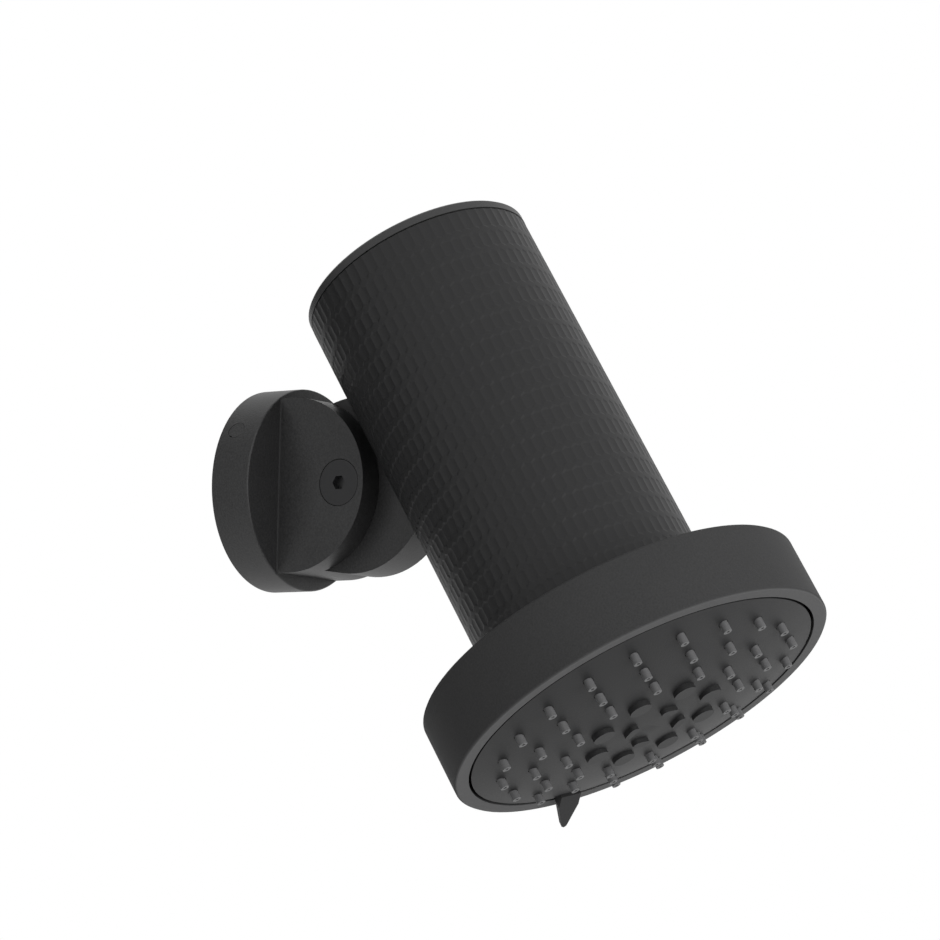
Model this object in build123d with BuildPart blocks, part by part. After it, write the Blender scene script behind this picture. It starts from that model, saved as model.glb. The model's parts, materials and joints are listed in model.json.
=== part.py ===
"""Wall shower head: a filter body that tilts on a wall bracket, with a turning spray plate."""

import os
from math import cos, radians, sin, sqrt

from build123d import *

os.makedirs("parts", exist_ok=True)

# Wall bracket: a round flange carrying two round-ended cheeks
disc_r = 31.2
disc_t = 13.6
rim_round = 0.5
cheek_x = 15.5
cheek_r = 26.8
cheek_run = 4.7
cheek_sink = 1.0
chord_round = 0.6
slot_x = 7.2
slot_gap = 0.4
horn_end = 12.0
pivot_out = 22.5
pivot_s = disc_t + pivot_out
cut_over = 1.0

# Inlet, with its fitting, screen and washer
inlet_r = 15.0
thread_r = 9.6
thread_len = 6.9
recess_r = thread_r + 0.6
shoulder_r = 6.6
shoulder_t = 1.2
screen_t = 0.5
screen_ring = 3.6
screen_hole = 1.2
washer_t = 1.2
seat_gap = 0.05
fitting_len = thread_len + washer_t + screen_t + shoulder_t
inlet_chamber = 1.6
inlet_pocket = fitting_len + inlet_chamber
passage_r = 1.6
passage_wall = 0.9
passage_x = slot_x + passage_wall + passage_r

# Lock screw and its flush plug in the flange's rim
plug_r = 2.75
plug_gap = 0.1
plug_depth = 4.0
grub_r = 2.5
grub_angle = 31.5
grub_s = 5.4
grub_socket = 2.5
grub_depth = 2.5
notch_w = 1.3
notch_depth = 1.2
notch_side = 1.5

# Pivot
spindle_r = 5.0
run_gap = 0.05
spindle_bore = 2.4
spindle_blind = 3.5
pivot_head_r = 7.0
pivot_head_t = 2.9
pivot_seat_t = 3.0
head_gap = 0.2
nut_cover = 1.6
nut_slot = 1.4
nut_slot_depth = 0.8
spindle_end = cheek_x - nut_cover
hex_across = 4.0
hex_depth = 2.2
port_r = 1.5
oring_section = 0.55
oring_groove = 1.4
oring_centre = spindle_r + run_gap - oring_section - seat_gap

# Tongue of the filter housing, between the cheeks
tongue_r = 27.0
tongue_gap = 0.25
tongue_x = slot_x - tongue_gap
hub_gap = 0.6
hub_r = pivot_out - hub_gap
hub_start = 9.5
friction_r = 8.6
friction_hole = 6.4
friction_t = 1.0
friction_proud = 0.2
friction_gap = 0.1
oring_inset = 1.55
oring_x = tongue_x - oring_inset
way_r = 2.5

# Where the pivot lies from the body's axis and the face, and the lean shown in the photograph
rest_lean = 32.0
pivot_offset = 48.4
pivot_height = 109.5

# Spray head drum
head_r = 60.0
head_h = 22.2
drum_edge = 0.6
drum_ring = 4.4
drum_bore = head_r - drum_ring
drum_ledge = 2.1
drum_step_r = drum_bore - drum_ledge
drum_roof = 2.6
roof_room = 4.6
drum_step_z = head_h - drum_roof - roof_room

# Filter housing, sleeve and cap
sleeve_r = 36.2
sleeve_t = 2.4
sleeve_gap = 0.12
housing_wall = 2.5
housing_r = sleeve_r - sleeve_t
housing_bore = housing_r - housing_wall
housing_len = 127.2
housing_top = head_h + housing_len
sleeve_lip = 3.6
sleeve_top = housing_top + sleeve_lip
cap_groove = 0.4
cap_band = 2.8
cap_top = sleeve_top + cap_groove + cap_band
cap_edge = 0.6
cap_neck_gap = 0.4
cap_neck_r = housing_r - cap_neck_gap
cap_plug_gap = 0.3
cap_plug_r = housing_bore - cap_plug_gap
cap_plug_wall = 2.5
cap_plug_in = cap_plug_r - cap_plug_wall
cap_plug_len = 12.0
cap_plug_end = housing_top - cap_plug_len
cap_roof = 3.5
gasket_t = 1.2

# Spigot of the drum, that the housing screws on
spigot_gap = 0.05
spigot_wall = 3.8
spigot_bore = housing_bore - spigot_wall
spigot_ledge = 1.5
spigot_step_r = spigot_bore - spigot_ledge
spigot_step_h = 8.0
spigot_step_z = head_h + spigot_step_h
spigot_rise = 4.0
spigot_top = spigot_step_z + spigot_rise
seal_rise = 6.0
seal_z = head_h + seal_rise
seal_section = 0.95
seal_groove = 2.2
regulator_t = 2.2
regulator_ring = 12.0
regulator_hole = 3.2

# Filter cartridge
cart_gap = 1.8
cart_r = housing_bore - cart_gap
cart_wall = 1.4
cart_floor = 2.4
cart_lid_t = 2.0
cart_lid_room = 4.0
cart_top = cap_plug_end - cart_lid_room - cart_lid_t
cart_hole_r = 2.5
cart_hole_ring = 16.0
cart_holes = 8
cart_gasket_t = 1.6
media_gap = 0.05
pad_t = 5.0
carbon_len = 40.0
divider_t = 2.0

# Manifold plate inside the drum, with the selector port and detent
manifold_gap = 0.1
manifold_r = drum_bore - manifold_gap
manifold_t = 4.0
manifold_z = drum_step_z - manifold_t
boss_r = 4.2
boss_wall = 0.8
boss_rise = 3.4
boss_top = drum_step_z + boss_rise
post_r = 4.0
post_rise = 3.2
post_top = drum_step_z + post_rise
clip_r = 6.6
clip_core = 3.2
clip_t = 1.0
clip_gap = 0.1
detent_ring = 30.0
detent_angle = 20.0
ball_r = 2.0
ball_gap = 0.1
spring_r = 1.8
spring_in = 1.2
dimple_r = 2.6
dimple_sink = 0.45

# Turning spray plate
plate_gap = 0.9
plate_r = drum_bore - plate_gap
plate_sink = 0.13
dome_r = 200.0
plate_t = 2.4
skirt_wall = 1.0
skirt_in = plate_r - skirt_wall
mat_t = 1.6
mat_gap = 1.1
mat_r = skirt_in - mat_gap
carrier_gap = 0.2
carrier_r = skirt_in - carrier_gap
carrier_run = 0.3
carrier_back = manifold_z - carrier_run
skirt_run = 2.7
skirt_top = carrier_back - skirt_run
channel_half = 2.6
channel_roof = 3.7
channel_top = carrier_back - channel_roof
feed_r = 2.2
nozzle_r = 1.3
nozzle_bore = 0.55
nozzle_gap = 0.2
nozzle_hole = nozzle_r + nozzle_gap
nozzle_h = 2.7
ring_edge = 6.0
ring_step = 9.5
ring_outer = mat_r - ring_edge
ring_mid = ring_outer - ring_step
ring_inner = ring_mid - ring_step
port_slot_half = 2.7
port_seal_half = 4.4
port_seal_t = 1.5
port_over = 3.8
port_inner = ring_inner - port_over
port_outer = ring_outer + port_over
button_h = 1.4
button_root = 1.2
button_step = 8.9
button_ring = ring_inner - button_step
button_r = 3.4
bean_ring = 8.8
bean_half = 1.5
bean_len = 5.8
lever_turn = 23.0
lever_lag = 2.5
lever_base = 3.65
lever_tip = 1.25
lever_foot = 4.1
lever_in = plate_r - lever_foot
lever_reach = 1.3
lever_out = head_r + lever_reach
lever_rise = 7.0
lever_under = 0.8
lever_t = 1.6
lever_root = 1.2
lever_step = 0.9
lever_side_gap = 0.6

# Shared frames
lean = radians(rest_lean)
to_wall = Vector(0, cos(lean), -sin(lean))
up_body = Vector(0, sin(lean), cos(lean))
pivot = Vector(0, -pivot_s, 0)
face_centre = pivot - to_wall * pivot_offset - up_body * pivot_height
wall = Plane(origin=(0, 0, 0), x_dir=(1, 0, 0), z_dir=(0, -1, 0))
side = Plane(origin=(0, 0, 0), x_dir=(0, -1, 0), z_dir=(-1, 0, 0))
shaft = Plane(origin=pivot, x_dir=(1, 0, 0), z_dir=(0, 0, 1))
head = Plane(origin=face_centre, x_dir=(1, 0, 0), z_dir=up_body)
section = Plane(origin=face_centre, x_dir=(1, 0, 0), z_dir=-to_wall)
axis_pivot = Axis(pivot, (1, 0, 0))
axis_body = Axis(face_centre, up_body)
axis_wall = Axis((0, 0, 0), (0, -1, 0))
lock_way = (-cos(radians(grub_angle)), 0, sin(radians(grub_angle)))
lock = Plane(origin=(0, -grub_s, 0), x_dir=(0, -1, 0), z_dir=lock_way)
nozzle_angle = 90.0 - lever_turn
lever_angle = nozzle_angle - lever_lag
lever_dir = head.x_dir * cos(radians(lever_angle)) + head.y_dir * sin(radians(lever_angle))
lever_side = Plane(origin=face_centre, x_dir=lever_dir, z_dir=lever_dir.cross(up_body))
dome_z = plate_sink + sqrt(dome_r**2 - plate_r**2)
plate_rise = dome_r - dome_z


def dome(radius, sphere):
    """Height of a dome surface on the shared centre, at a distance from the axis."""
    return dome_z - sqrt(sphere**2 - radius**2)


# Wall bracket
with BuildPart() as wall_bracket:
    with BuildSketch(wall):
        Circle(disc_r)
    extrude(amount=disc_t)
    rim = wall_bracket.edges().filter_by(GeomType.CIRCLE).sort_by(Axis.Y)[0]
    fillet(rim, rim_round)
    with BuildSketch(side.offset(-cheek_x)):
        with Locations((disc_t + cheek_run, 0)):
            Circle(cheek_r)
        with Locations((disc_t + cheek_run - cheek_r, 0)):
            Rectangle(2 * cheek_r, 3 * cheek_r, mode=Mode.SUBTRACT)
        with Locations((disc_t + (cheek_run - cheek_sink) / 2, 0)):
            Rectangle(cheek_run + cheek_sink, 2 * cheek_r)
    extrude(amount=2 * cheek_x)
    front = wall_bracket.edges().filter_by(Axis.Z).filter_by_position(Axis.Y, -disc_t - rim_round, -disc_t + rim_round)
    fillet(front, chord_round)
    with BuildSketch(side.offset(-slot_x)):
        with Locations((pivot_s, 0)):
            Circle(tongue_r + slot_gap)
        with Locations((disc_t - tongue_r, 0)):
            Rectangle(2 * tongue_r, 4 * tongue_r, mode=Mode.SUBTRACT)
        with Locations((disc_t + horn_end + cheek_r, 0)):
            Rectangle(2 * cheek_r, 3 * cheek_r)
    extrude(amount=2 * slot_x, mode=Mode.SUBTRACT)
    with BuildSketch(side.offset(-cheek_x - cut_over)):
        with Locations((pivot_s, 0)):
            Circle(spindle_r + run_gap)
    extrude(amount=2 * (cheek_x + cut_over), mode=Mode.SUBTRACT)
    with BuildSketch(side.offset(cheek_x - pivot_seat_t), side.offset(-cheek_x)):
        with Locations((pivot_s, 0)):
            Circle(pivot_head_r + head_gap)
    extrude(amount=pivot_seat_t, mode=Mode.SUBTRACT)
    with BuildSketch(wall):
        Circle(inlet_r)
    extrude(amount=inlet_pocket, mode=Mode.SUBTRACT)
    with BuildSketch(wall.offset(inlet_pocket - cut_over)):
        with Locations((passage_x, 0)):
            Circle(passage_r)
    extrude(amount=pivot_s - inlet_pocket + cut_over, mode=Mode.SUBTRACT)
    with BuildSketch(lock.offset(inlet_r - cut_over)):
        Circle(plug_r + plug_gap)
    extrude(amount=disc_r - inlet_r + 2 * cut_over, mode=Mode.SUBTRACT)
wall_bracket.part.label = "wall_bracket"
export_step(wall_bracket.part, "parts/wall_bracket.step")

# Inlet fitting, with the pipe thread kept as a plain bore
with BuildPart() as inlet_fitting:
    with BuildSketch(wall):
        Circle(inlet_r)
        Circle(thread_r, mode=Mode.SUBTRACT)
    extrude(amount=fitting_len)
    with BuildSketch(wall.offset(thread_len)):
        Circle(recess_r)
    extrude(amount=washer_t + screen_t, mode=Mode.SUBTRACT)
    with BuildSketch(wall.offset(thread_len + washer_t + screen_t)):
        Circle(recess_r)
        Circle(shoulder_r, mode=Mode.SUBTRACT)
    extrude(amount=shoulder_t)
inlet_fitting.part.label = "inlet_fitting"
export_step(inlet_fitting.part, "parts/inlet_fitting.step")

# Screen on the fitting's shoulder
with BuildPart() as inlet_screen:
    with BuildSketch(wall.offset(fitting_len - shoulder_t - screen_t)):
        Circle(recess_r - seat_gap)
        with PolarLocations(screen_ring, 6):
            Circle(screen_hole, mode=Mode.SUBTRACT)
        Circle(screen_hole, mode=Mode.SUBTRACT)
    extrude(amount=screen_t)
inlet_screen.part.label = "inlet_screen"
export_step(inlet_screen.part, "parts/inlet_screen.step")

# Washer that the pipe end presses on
with BuildPart() as inlet_washer:
    with BuildSketch(wall.offset(fitting_len - shoulder_t - screen_t - washer_t)):
        Circle(recess_r - seat_gap)
        Circle(shoulder_r, mode=Mode.SUBTRACT)
    extrude(amount=washer_t)
inlet_washer.part.label = "inlet_washer"
export_step(inlet_washer.part, "parts/inlet_washer.step")

# Lock screw, tight on the inlet fitting
with BuildPart() as lock_screw:
    with BuildSketch(lock.offset(inlet_r)):
        Circle(grub_r)
    extrude(amount=disc_r - plug_depth - inlet_r)
    with BuildSketch(lock.offset(disc_r - plug_depth - grub_depth)):
        RegularPolygon(grub_socket / 2, 6, major_radius=False)
    extrude(amount=grub_depth, mode=Mode.SUBTRACT)
lock_screw.part.label = "lock_screw"
export_step(lock_screw.part, "parts/lock_screw.step")

# Flush plug over the lock screw, with a small notch to lift it out
with BuildPart() as rim_plug:
    with BuildSketch(lock.offset(disc_r - plug_depth)):
        Circle(plug_r)
    extrude(amount=plug_depth - plug_r**2 / (2 * disc_r))
    with BuildSketch(lock.offset(disc_r - notch_depth)):
        with Locations((-notch_side, -plug_r)):
            Rectangle(notch_w, notch_w)
    extrude(amount=notch_depth + cut_over, mode=Mode.SUBTRACT)
rim_plug.part.label = "rim_plug"
export_step(rim_plug.part, "parts/rim_plug.step")

# Hollow pivot spindle with its flush socket head
with BuildPart() as pivot_spindle:
    with BuildSketch(side.offset(-spindle_end)):
        with Locations((pivot_s, 0)):
            Circle(spindle_r)
    extrude(amount=spindle_end + cheek_x - pivot_seat_t)
    with BuildSketch(side.offset(cheek_x - pivot_seat_t)):
        with Locations((pivot_s, 0)):
            Circle(pivot_head_r)
    extrude(amount=pivot_head_t)
    with BuildSketch(side.offset(cheek_x - pivot_seat_t + pivot_head_t - hex_depth)):
        with Locations((pivot_s, 0)):
            RegularPolygon(hex_across / 2, 6, major_radius=False)
    extrude(amount=hex_depth, mode=Mode.SUBTRACT)
    with BuildSketch(side.offset(-spindle_end)):
        with Locations((pivot_s, 0)):
            Circle(spindle_bore)
    extrude(amount=spindle_end + spindle_blind, mode=Mode.SUBTRACT)
    with BuildSketch(Plane(origin=pivot, x_dir=(1, 0, 0), z_dir=-to_wall)):
        Circle(port_r)
    extrude(amount=spindle_r + cut_over, mode=Mode.SUBTRACT)
    with BuildSketch(Plane(origin=pivot, x_dir=(1, 0, 0), z_dir=(0, 1, 0))):
        with Locations((passage_x, 0)):
            Circle(port_r)
    extrude(amount=spindle_r + cut_over, mode=Mode.SUBTRACT)
    with BuildSketch(shaft):
        with Locations((oring_x, oring_centre + cut_over / 2), (-oring_x, oring_centre + cut_over / 2)):
            Rectangle(oring_groove, 2 * oring_section + cut_over)
    revolve(axis=axis_pivot, mode=Mode.SUBTRACT)
pivot_spindle.part.label = "pivot_spindle"
export_step(pivot_spindle.part, "parts/pivot_spindle.step")

# Round nut that closes the spindle on the far side
with BuildPart() as spindle_nut:
    with BuildSketch(side.offset(-cheek_x + pivot_seat_t - pivot_head_t)):
        with Locations((pivot_s, 0)):
            Circle(pivot_head_r)
    extrude(amount=pivot_head_t)
    with BuildSketch(side.offset(-spindle_end)):
        with Locations((pivot_s, 0)):
            Circle(spindle_r)
    extrude(amount=spindle_end, mode=Mode.SUBTRACT)
    with BuildSketch(side.offset(-cheek_x + pivot_seat_t - pivot_head_t)):
        with Locations((pivot_s, 0)):
            Rectangle(nut_slot, 2 * (pivot_head_r + cut_over))
    extrude(amount=nut_slot_depth, mode=Mode.SUBTRACT)
spindle_nut.part.label = "spindle_nut"
export_step(spindle_nut.part, "parts/spindle_nut.step")

# Seals on the spindle, one at each side of its port
with BuildPart() as spindle_seal_near:
    with BuildSketch(shaft):
        with Locations((-oring_x, oring_centre)):
            Circle(oring_section)
    revolve(axis=axis_pivot)
spindle_seal_near.part.label = "spindle_seal_near"
export_step(spindle_seal_near.part, "parts/spindle_seal_near.step")

with BuildPart() as spindle_seal_far:
    with BuildSketch(shaft):
        with Locations((oring_x, oring_centre)):
            Circle(oring_section)
    revolve(axis=axis_pivot)
spindle_seal_far.part.label = "spindle_seal_far"
export_step(spindle_seal_far.part, "parts/spindle_seal_far.step")

# Filter housing in one moulding with the tongue
with BuildPart() as filter_housing:
    with BuildSketch(side.offset(-tongue_x)):
        with Locations((pivot_s, 0)):
            Circle(tongue_r)
        with Locations((pivot_s - hub_start - tongue_r, 0)):
            Rectangle(2 * tongue_r, 4 * tongue_r, mode=Mode.SUBTRACT)
        with Locations((pivot_s, 0)):
            Circle(hub_r)
    extrude(amount=2 * tongue_x)
    with BuildSketch(head.offset(head_h)):
        Circle(housing_r)
    extrude(amount=housing_top - head_h)
    with BuildSketch(head.offset(head_h)):
        Circle(housing_bore)
    extrude(amount=housing_top - head_h, mode=Mode.SUBTRACT)
    with BuildSketch(side.offset(-tongue_x)):
        with Locations((pivot_s, 0)):
            Circle(spindle_r + run_gap)
    extrude(amount=2 * tongue_x, mode=Mode.SUBTRACT)
    with BuildSketch(side.offset(-tongue_x), side.offset(tongue_x - friction_t + friction_proud)):
        with Locations((pivot_s, 0)):
            Circle(friction_r + friction_gap)
    extrude(amount=friction_t - friction_proud, mode=Mode.SUBTRACT)
    with BuildSketch(Plane(origin=pivot, x_dir=(1, 0, 0), z_dir=-to_wall)):
        Circle(way_r)
    extrude(amount=pivot_offset - housing_bore + way_r, mode=Mode.SUBTRACT)
filter_housing.part.label = "filter_housing"
export_step(filter_housing.part, "parts/filter_housing.step")

# Friction washers let into the tongue's two faces
with BuildPart() as friction_washer_near:
    with BuildSketch(side.offset(tongue_x - friction_t + friction_proud)):
        with Locations((pivot_s, 0)):
            Circle(friction_r)
            Circle(friction_hole, mode=Mode.SUBTRACT)
    extrude(amount=friction_t)
friction_washer_near.part.label = "friction_washer_near"
export_step(friction_washer_near.part, "parts/friction_washer_near.step")

with BuildPart() as friction_washer_far:
    with BuildSketch(side.offset(-tongue_x - friction_proud)):
        with Locations((pivot_s, 0)):
            Circle(friction_r)
            Circle(friction_hole, mode=Mode.SUBTRACT)
    extrude(amount=friction_t)
friction_washer_far.part.label = "friction_washer_far"
export_step(friction_washer_far.part, "parts/friction_washer_far.step")

# Grip sleeve over the housing, open where the tongue comes through
with BuildPart() as grip_sleeve:
    with BuildSketch(head.offset(head_h)):
        Circle(sleeve_r)
        Circle(housing_r, mode=Mode.SUBTRACT)
    extrude(amount=sleeve_top - head_h)
    with BuildSketch(side.offset(-tongue_x - sleeve_gap)):
        with Locations((pivot_s, 0)):
            Circle(tongue_r + sleeve_gap)
    extrude(amount=2 * (tongue_x + sleeve_gap), mode=Mode.SUBTRACT)
grip_sleeve.part.label = "grip_sleeve"
export_step(grip_sleeve.part, "parts/grip_sleeve.step")

# Service cap
with BuildPart() as top_cap:
    with BuildSketch(section):
        with BuildLine():
            Polyline(
                (0, cap_top),
                (sleeve_r - cap_edge, cap_top),
                (sleeve_r, cap_top - cap_edge),
                (sleeve_r, cap_top - cap_band),
                (cap_neck_r, cap_top - cap_band),
                (cap_neck_r, housing_top + gasket_t),
                (cap_plug_r, housing_top + gasket_t),
                (cap_plug_r, cap_plug_end),
                (cap_plug_in, cap_plug_end),
                (cap_plug_in, cap_top - cap_roof),
                (0, cap_top - cap_roof),
                close=True,
            )
        make_face()
    revolve(axis=axis_body)
top_cap.part.label = "top_cap"
export_step(top_cap.part, "parts/top_cap.step")

# Flat gasket under the cap
with BuildPart() as cap_gasket:
    with BuildSketch(head.offset(housing_top)):
        Circle(cap_neck_r)
        Circle(cap_plug_r, mode=Mode.SUBTRACT)
    extrude(amount=gasket_t)
cap_gasket.part.label = "cap_gasket"
export_step(cap_gasket.part, "parts/cap_gasket.step")

# Spray head drum, with the spigot that the housing screws on
with BuildPart() as head_shell:
    with BuildSketch(section):
        with BuildLine():
            Polyline(
                (drum_bore, 0),
                (head_r - drum_edge, 0),
                (head_r, drum_edge),
                (head_r, head_h - drum_edge),
                (head_r - drum_edge, head_h),
                (housing_bore - spigot_gap, head_h),
                (housing_bore - spigot_gap, spigot_top),
                (spigot_bore, spigot_top),
                (spigot_bore, spigot_step_z),
                (spigot_step_r, spigot_step_z),
                (spigot_step_r, head_h - drum_roof),
                (drum_step_r, head_h - drum_roof),
                (drum_step_r, drum_step_z),
                (drum_bore, drum_step_z),
                close=True,
            )
        make_face()
    revolve(axis=axis_body)
    with BuildSketch(section):
        with Locations((housing_bore, seal_z)):
            Rectangle(4 * seal_section, seal_groove)
    revolve(axis=axis_body, mode=Mode.SUBTRACT)
head_shell.part.label = "head_shell"
export_step(head_shell.part, "parts/head_shell.step")

# Seal between spigot and housing
with BuildPart() as head_seal:
    with BuildSketch(section):
        with Locations((housing_bore - seal_section, seal_z)):
            Circle(seal_section)
    revolve(axis=axis_body)
head_seal.part.label = "head_seal"
export_step(head_seal.part, "parts/head_seal.step")

# Flow regulator on the spigot's step
with BuildPart() as flow_regulator:
    with BuildSketch(head.offset(spigot_step_z)):
        Circle(spigot_bore - media_gap)
        with PolarLocations(regulator_ring, 4):
            Circle(regulator_hole, mode=Mode.SUBTRACT)
    extrude(amount=regulator_t)
flow_regulator.part.label = "flow_regulator"
export_step(flow_regulator.part, "parts/flow_regulator.step")

# Gasket between spigot and cartridge
with BuildPart() as cartridge_gasket:
    with BuildSketch(head.offset(spigot_top)):
        Circle(cart_r)
        Circle(spigot_step_r, mode=Mode.SUBTRACT)
    extrude(amount=cart_gasket_t)
cartridge_gasket.part.label = "cartridge_gasket"
export_step(cartridge_gasket.part, "parts/cartridge_gasket.step")

# Cartridge cup
cart_base = spigot_top + cart_gasket_t
cart_bed = cart_base + cart_floor
with BuildPart() as cartridge_cup:
    with BuildSketch(head.offset(cart_base)):
        Circle(cart_r)
    extrude(amount=cart_top - cart_base)
    with BuildSketch(head.offset(cart_bed)):
        Circle(cart_r - cart_wall)
    extrude(amount=cart_top - cart_bed, mode=Mode.SUBTRACT)
    with BuildSketch(head.offset(cart_base)):
        with PolarLocations(cart_hole_ring, cart_holes):
            Circle(cart_hole_r)
    extrude(amount=cart_floor, mode=Mode.SUBTRACT)
cartridge_cup.part.label = "cartridge_cup"
export_step(cartridge_cup.part, "parts/cartridge_cup.step")

# Pads, carbon, divider and mineral bed, from the outlet up
media_r = cart_r - cart_wall - media_gap
carbon_top = cart_bed + pad_t + carbon_len
with BuildPart() as outlet_pad:
    with BuildSketch(head.offset(cart_bed)):
        Circle(media_r)
    extrude(amount=pad_t)
outlet_pad.part.label = "outlet_pad"
export_step(outlet_pad.part, "parts/outlet_pad.step")

with BuildPart() as carbon_block:
    with BuildSketch(head.offset(cart_bed + pad_t)):
        Circle(media_r)
    extrude(amount=carbon_len)
carbon_block.part.label = "carbon_block"
export_step(carbon_block.part, "parts/carbon_block.step")

with BuildPart() as media_divider:
    with BuildSketch(head.offset(carbon_top)):
        Circle(media_r)
        with PolarLocations(cart_hole_ring, cart_holes):
            Circle(cart_hole_r, mode=Mode.SUBTRACT)
    extrude(amount=divider_t)
media_divider.part.label = "media_divider"
export_step(media_divider.part, "parts/media_divider.step")

with BuildPart() as mineral_bed:
    with BuildSketch(head.offset(carbon_top + divider_t)):
        Circle(media_r)
    extrude(amount=cart_top - pad_t - carbon_top - divider_t)
mineral_bed.part.label = "mineral_bed"
export_step(mineral_bed.part, "parts/mineral_bed.step")

with BuildPart() as inlet_pad:
    with BuildSketch(head.offset(cart_top - pad_t)):
        Circle(media_r)
    extrude(amount=pad_t)
inlet_pad.part.label = "inlet_pad"
export_step(inlet_pad.part, "parts/inlet_pad.step")

# Cartridge lid
with BuildPart() as cartridge_lid:
    with BuildSketch(head.offset(cart_top)):
        Circle(cart_r)
        with PolarLocations(cart_hole_ring, cart_holes):
            Circle(cart_hole_r, mode=Mode.SUBTRACT)
    extrude(amount=cart_lid_t)
cartridge_lid.part.label = "cartridge_lid"
export_step(cartridge_lid.part, "parts/cartridge_lid.step")

# Manifold plate, with one long port and the detent's boss
port_mid = (port_inner + port_outer) / 2
port_len = port_outer - port_inner
with BuildPart() as manifold_plate:
    with BuildSketch(head.offset(manifold_z)):
        Circle(manifold_r)
    extrude(amount=drum_step_z - manifold_z)
    with BuildSketch(head.offset(manifold_z)):
        with PolarLocations(detent_ring, 1, start_angle=detent_angle):
            Circle(boss_r)
    extrude(amount=boss_top - manifold_z)
    with BuildSketch(head.offset(manifold_z)):
        Circle(post_r + run_gap)
        with Locations((0, -port_mid)):
            SlotOverall(port_len, 2 * port_slot_half, rotation=90)
    extrude(amount=drum_step_z - manifold_z, mode=Mode.SUBTRACT)
    with BuildSketch(head.offset(manifold_z)):
        with Locations((0, -port_mid)):
            SlotOverall(port_len + 2 * (port_seal_half - port_slot_half), 2 * port_seal_half, rotation=90)
    extrude(amount=port_seal_t, mode=Mode.SUBTRACT)
    with BuildSketch(head.offset(manifold_z)):
        with PolarLocations(detent_ring, 1, start_angle=detent_angle):
            Circle(ball_r + ball_gap)
    extrude(amount=boss_top - manifold_z - boss_wall, mode=Mode.SUBTRACT)
manifold_plate.part.label = "manifold_plate"
export_step(manifold_plate.part, "parts/manifold_plate.step")

# Seal round the port
with BuildPart() as port_seal:
    with BuildSketch(head.offset(manifold_z)):
        with Locations((0, -port_mid)):
            SlotOverall(port_len + 2 * (port_seal_half - port_slot_half), 2 * port_seal_half, rotation=90)
            SlotOverall(port_len, 2 * port_slot_half, rotation=90, mode=Mode.SUBTRACT)
    extrude(amount=port_seal_t)
port_seal.part.label = "port_seal"
export_step(port_seal.part, "parts/port_seal.step")

# Detent ball and its spring
ball_mid = head.offset(manifold_z + ball_r).from_local_coords(
    (detent_ring * cos(radians(detent_angle)), detent_ring * sin(radians(detent_angle)), 0)
)
with BuildPart() as detent_ball:
    with Locations(ball_mid):
        Sphere(ball_r)
detent_ball.part.label = "detent_ball"
export_step(detent_ball.part, "parts/detent_ball.step")

spring_base = manifold_z + ball_r + sqrt(ball_r**2 - spring_in**2)
with BuildPart() as detent_spring:
    with BuildSketch(head.offset(spring_base)):
        with PolarLocations(detent_ring, 1, start_angle=detent_angle):
            Circle(spring_r)
            Circle(spring_in, mode=Mode.SUBTRACT)
    extrude(amount=boss_top - boss_wall - spring_base)
    with Locations(ball_mid):
        Sphere(ball_r, mode=Mode.SUBTRACT)
detent_spring.part.label = "detent_spring"
export_step(detent_spring.part, "parts/detent_spring.step")

# Carrier that turns behind the spray plate
with BuildPart() as spray_carrier:
    with BuildSketch(section):
        with BuildLine():
            ThreePointArc(
                (0, dome(0, dome_r - plate_t - mat_t)),
                (carrier_r / 2, dome(carrier_r / 2, dome_r - plate_t - mat_t)),
                (carrier_r, dome(carrier_r, dome_r - plate_t - mat_t)),
            )
            Polyline(
                (carrier_r, dome(carrier_r, dome_r - plate_t - mat_t)),
                (carrier_r, carrier_back),
                (post_r, carrier_back),
                (post_r, post_top),
                (0, post_top),
                (0, dome(0, dome_r - plate_t - mat_t)),
            )
        make_face()
    revolve(axis=axis_body)
    with BuildSketch(section):
        with Locations(*((ring, channel_top - carrier_back) for ring in (ring_inner, ring_mid, ring_outer))):
            Rectangle(2 * channel_half, 2 * carrier_back)
    revolve(axis=axis_body, mode=Mode.SUBTRACT)
    with BuildSketch(head.offset(channel_top - cut_over)):
        for step, ring in enumerate((ring_inner, ring_mid, ring_outer)):
            with PolarLocations(ring, 1, start_angle=270 - step * lever_turn):
                Circle(feed_r)
    extrude(amount=channel_roof + cut_over, mode=Mode.SUBTRACT)
    with BuildSketch(section):
        with Locations((post_r, drum_step_z + clip_gap + clip_t / 2)):
            Rectangle(2 * (post_r - clip_core), clip_t)
    revolve(axis=axis_body, mode=Mode.SUBTRACT)
    for step in range(3):
        turn = radians(detent_angle - step * lever_turn)
        dimple = head.offset(carrier_back + dimple_r - dimple_sink).from_local_coords(
            (detent_ring * cos(turn), detent_ring * sin(turn), 0)
        )
        with Locations(dimple):
            Sphere(dimple_r, mode=Mode.SUBTRACT)
spray_carrier.part.label = "spray_carrier"
export_step(spray_carrier.part, "parts/spray_carrier.step")

# Clip that keeps the carrier on the manifold
with BuildPart() as carrier_clip:
    with BuildSketch(head.offset(drum_step_z + clip_gap)):
        Circle(clip_r)
        Circle(clip_core, mode=Mode.SUBTRACT)
        with Locations((clip_r, 0)):
            Rectangle(2 * clip_r, 1.6 * clip_core, mode=Mode.SUBTRACT)
    extrude(amount=clip_t)
carrier_clip.part.label = "carrier_clip"
export_step(carrier_clip.part, "parts/carrier_clip.step")

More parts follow.
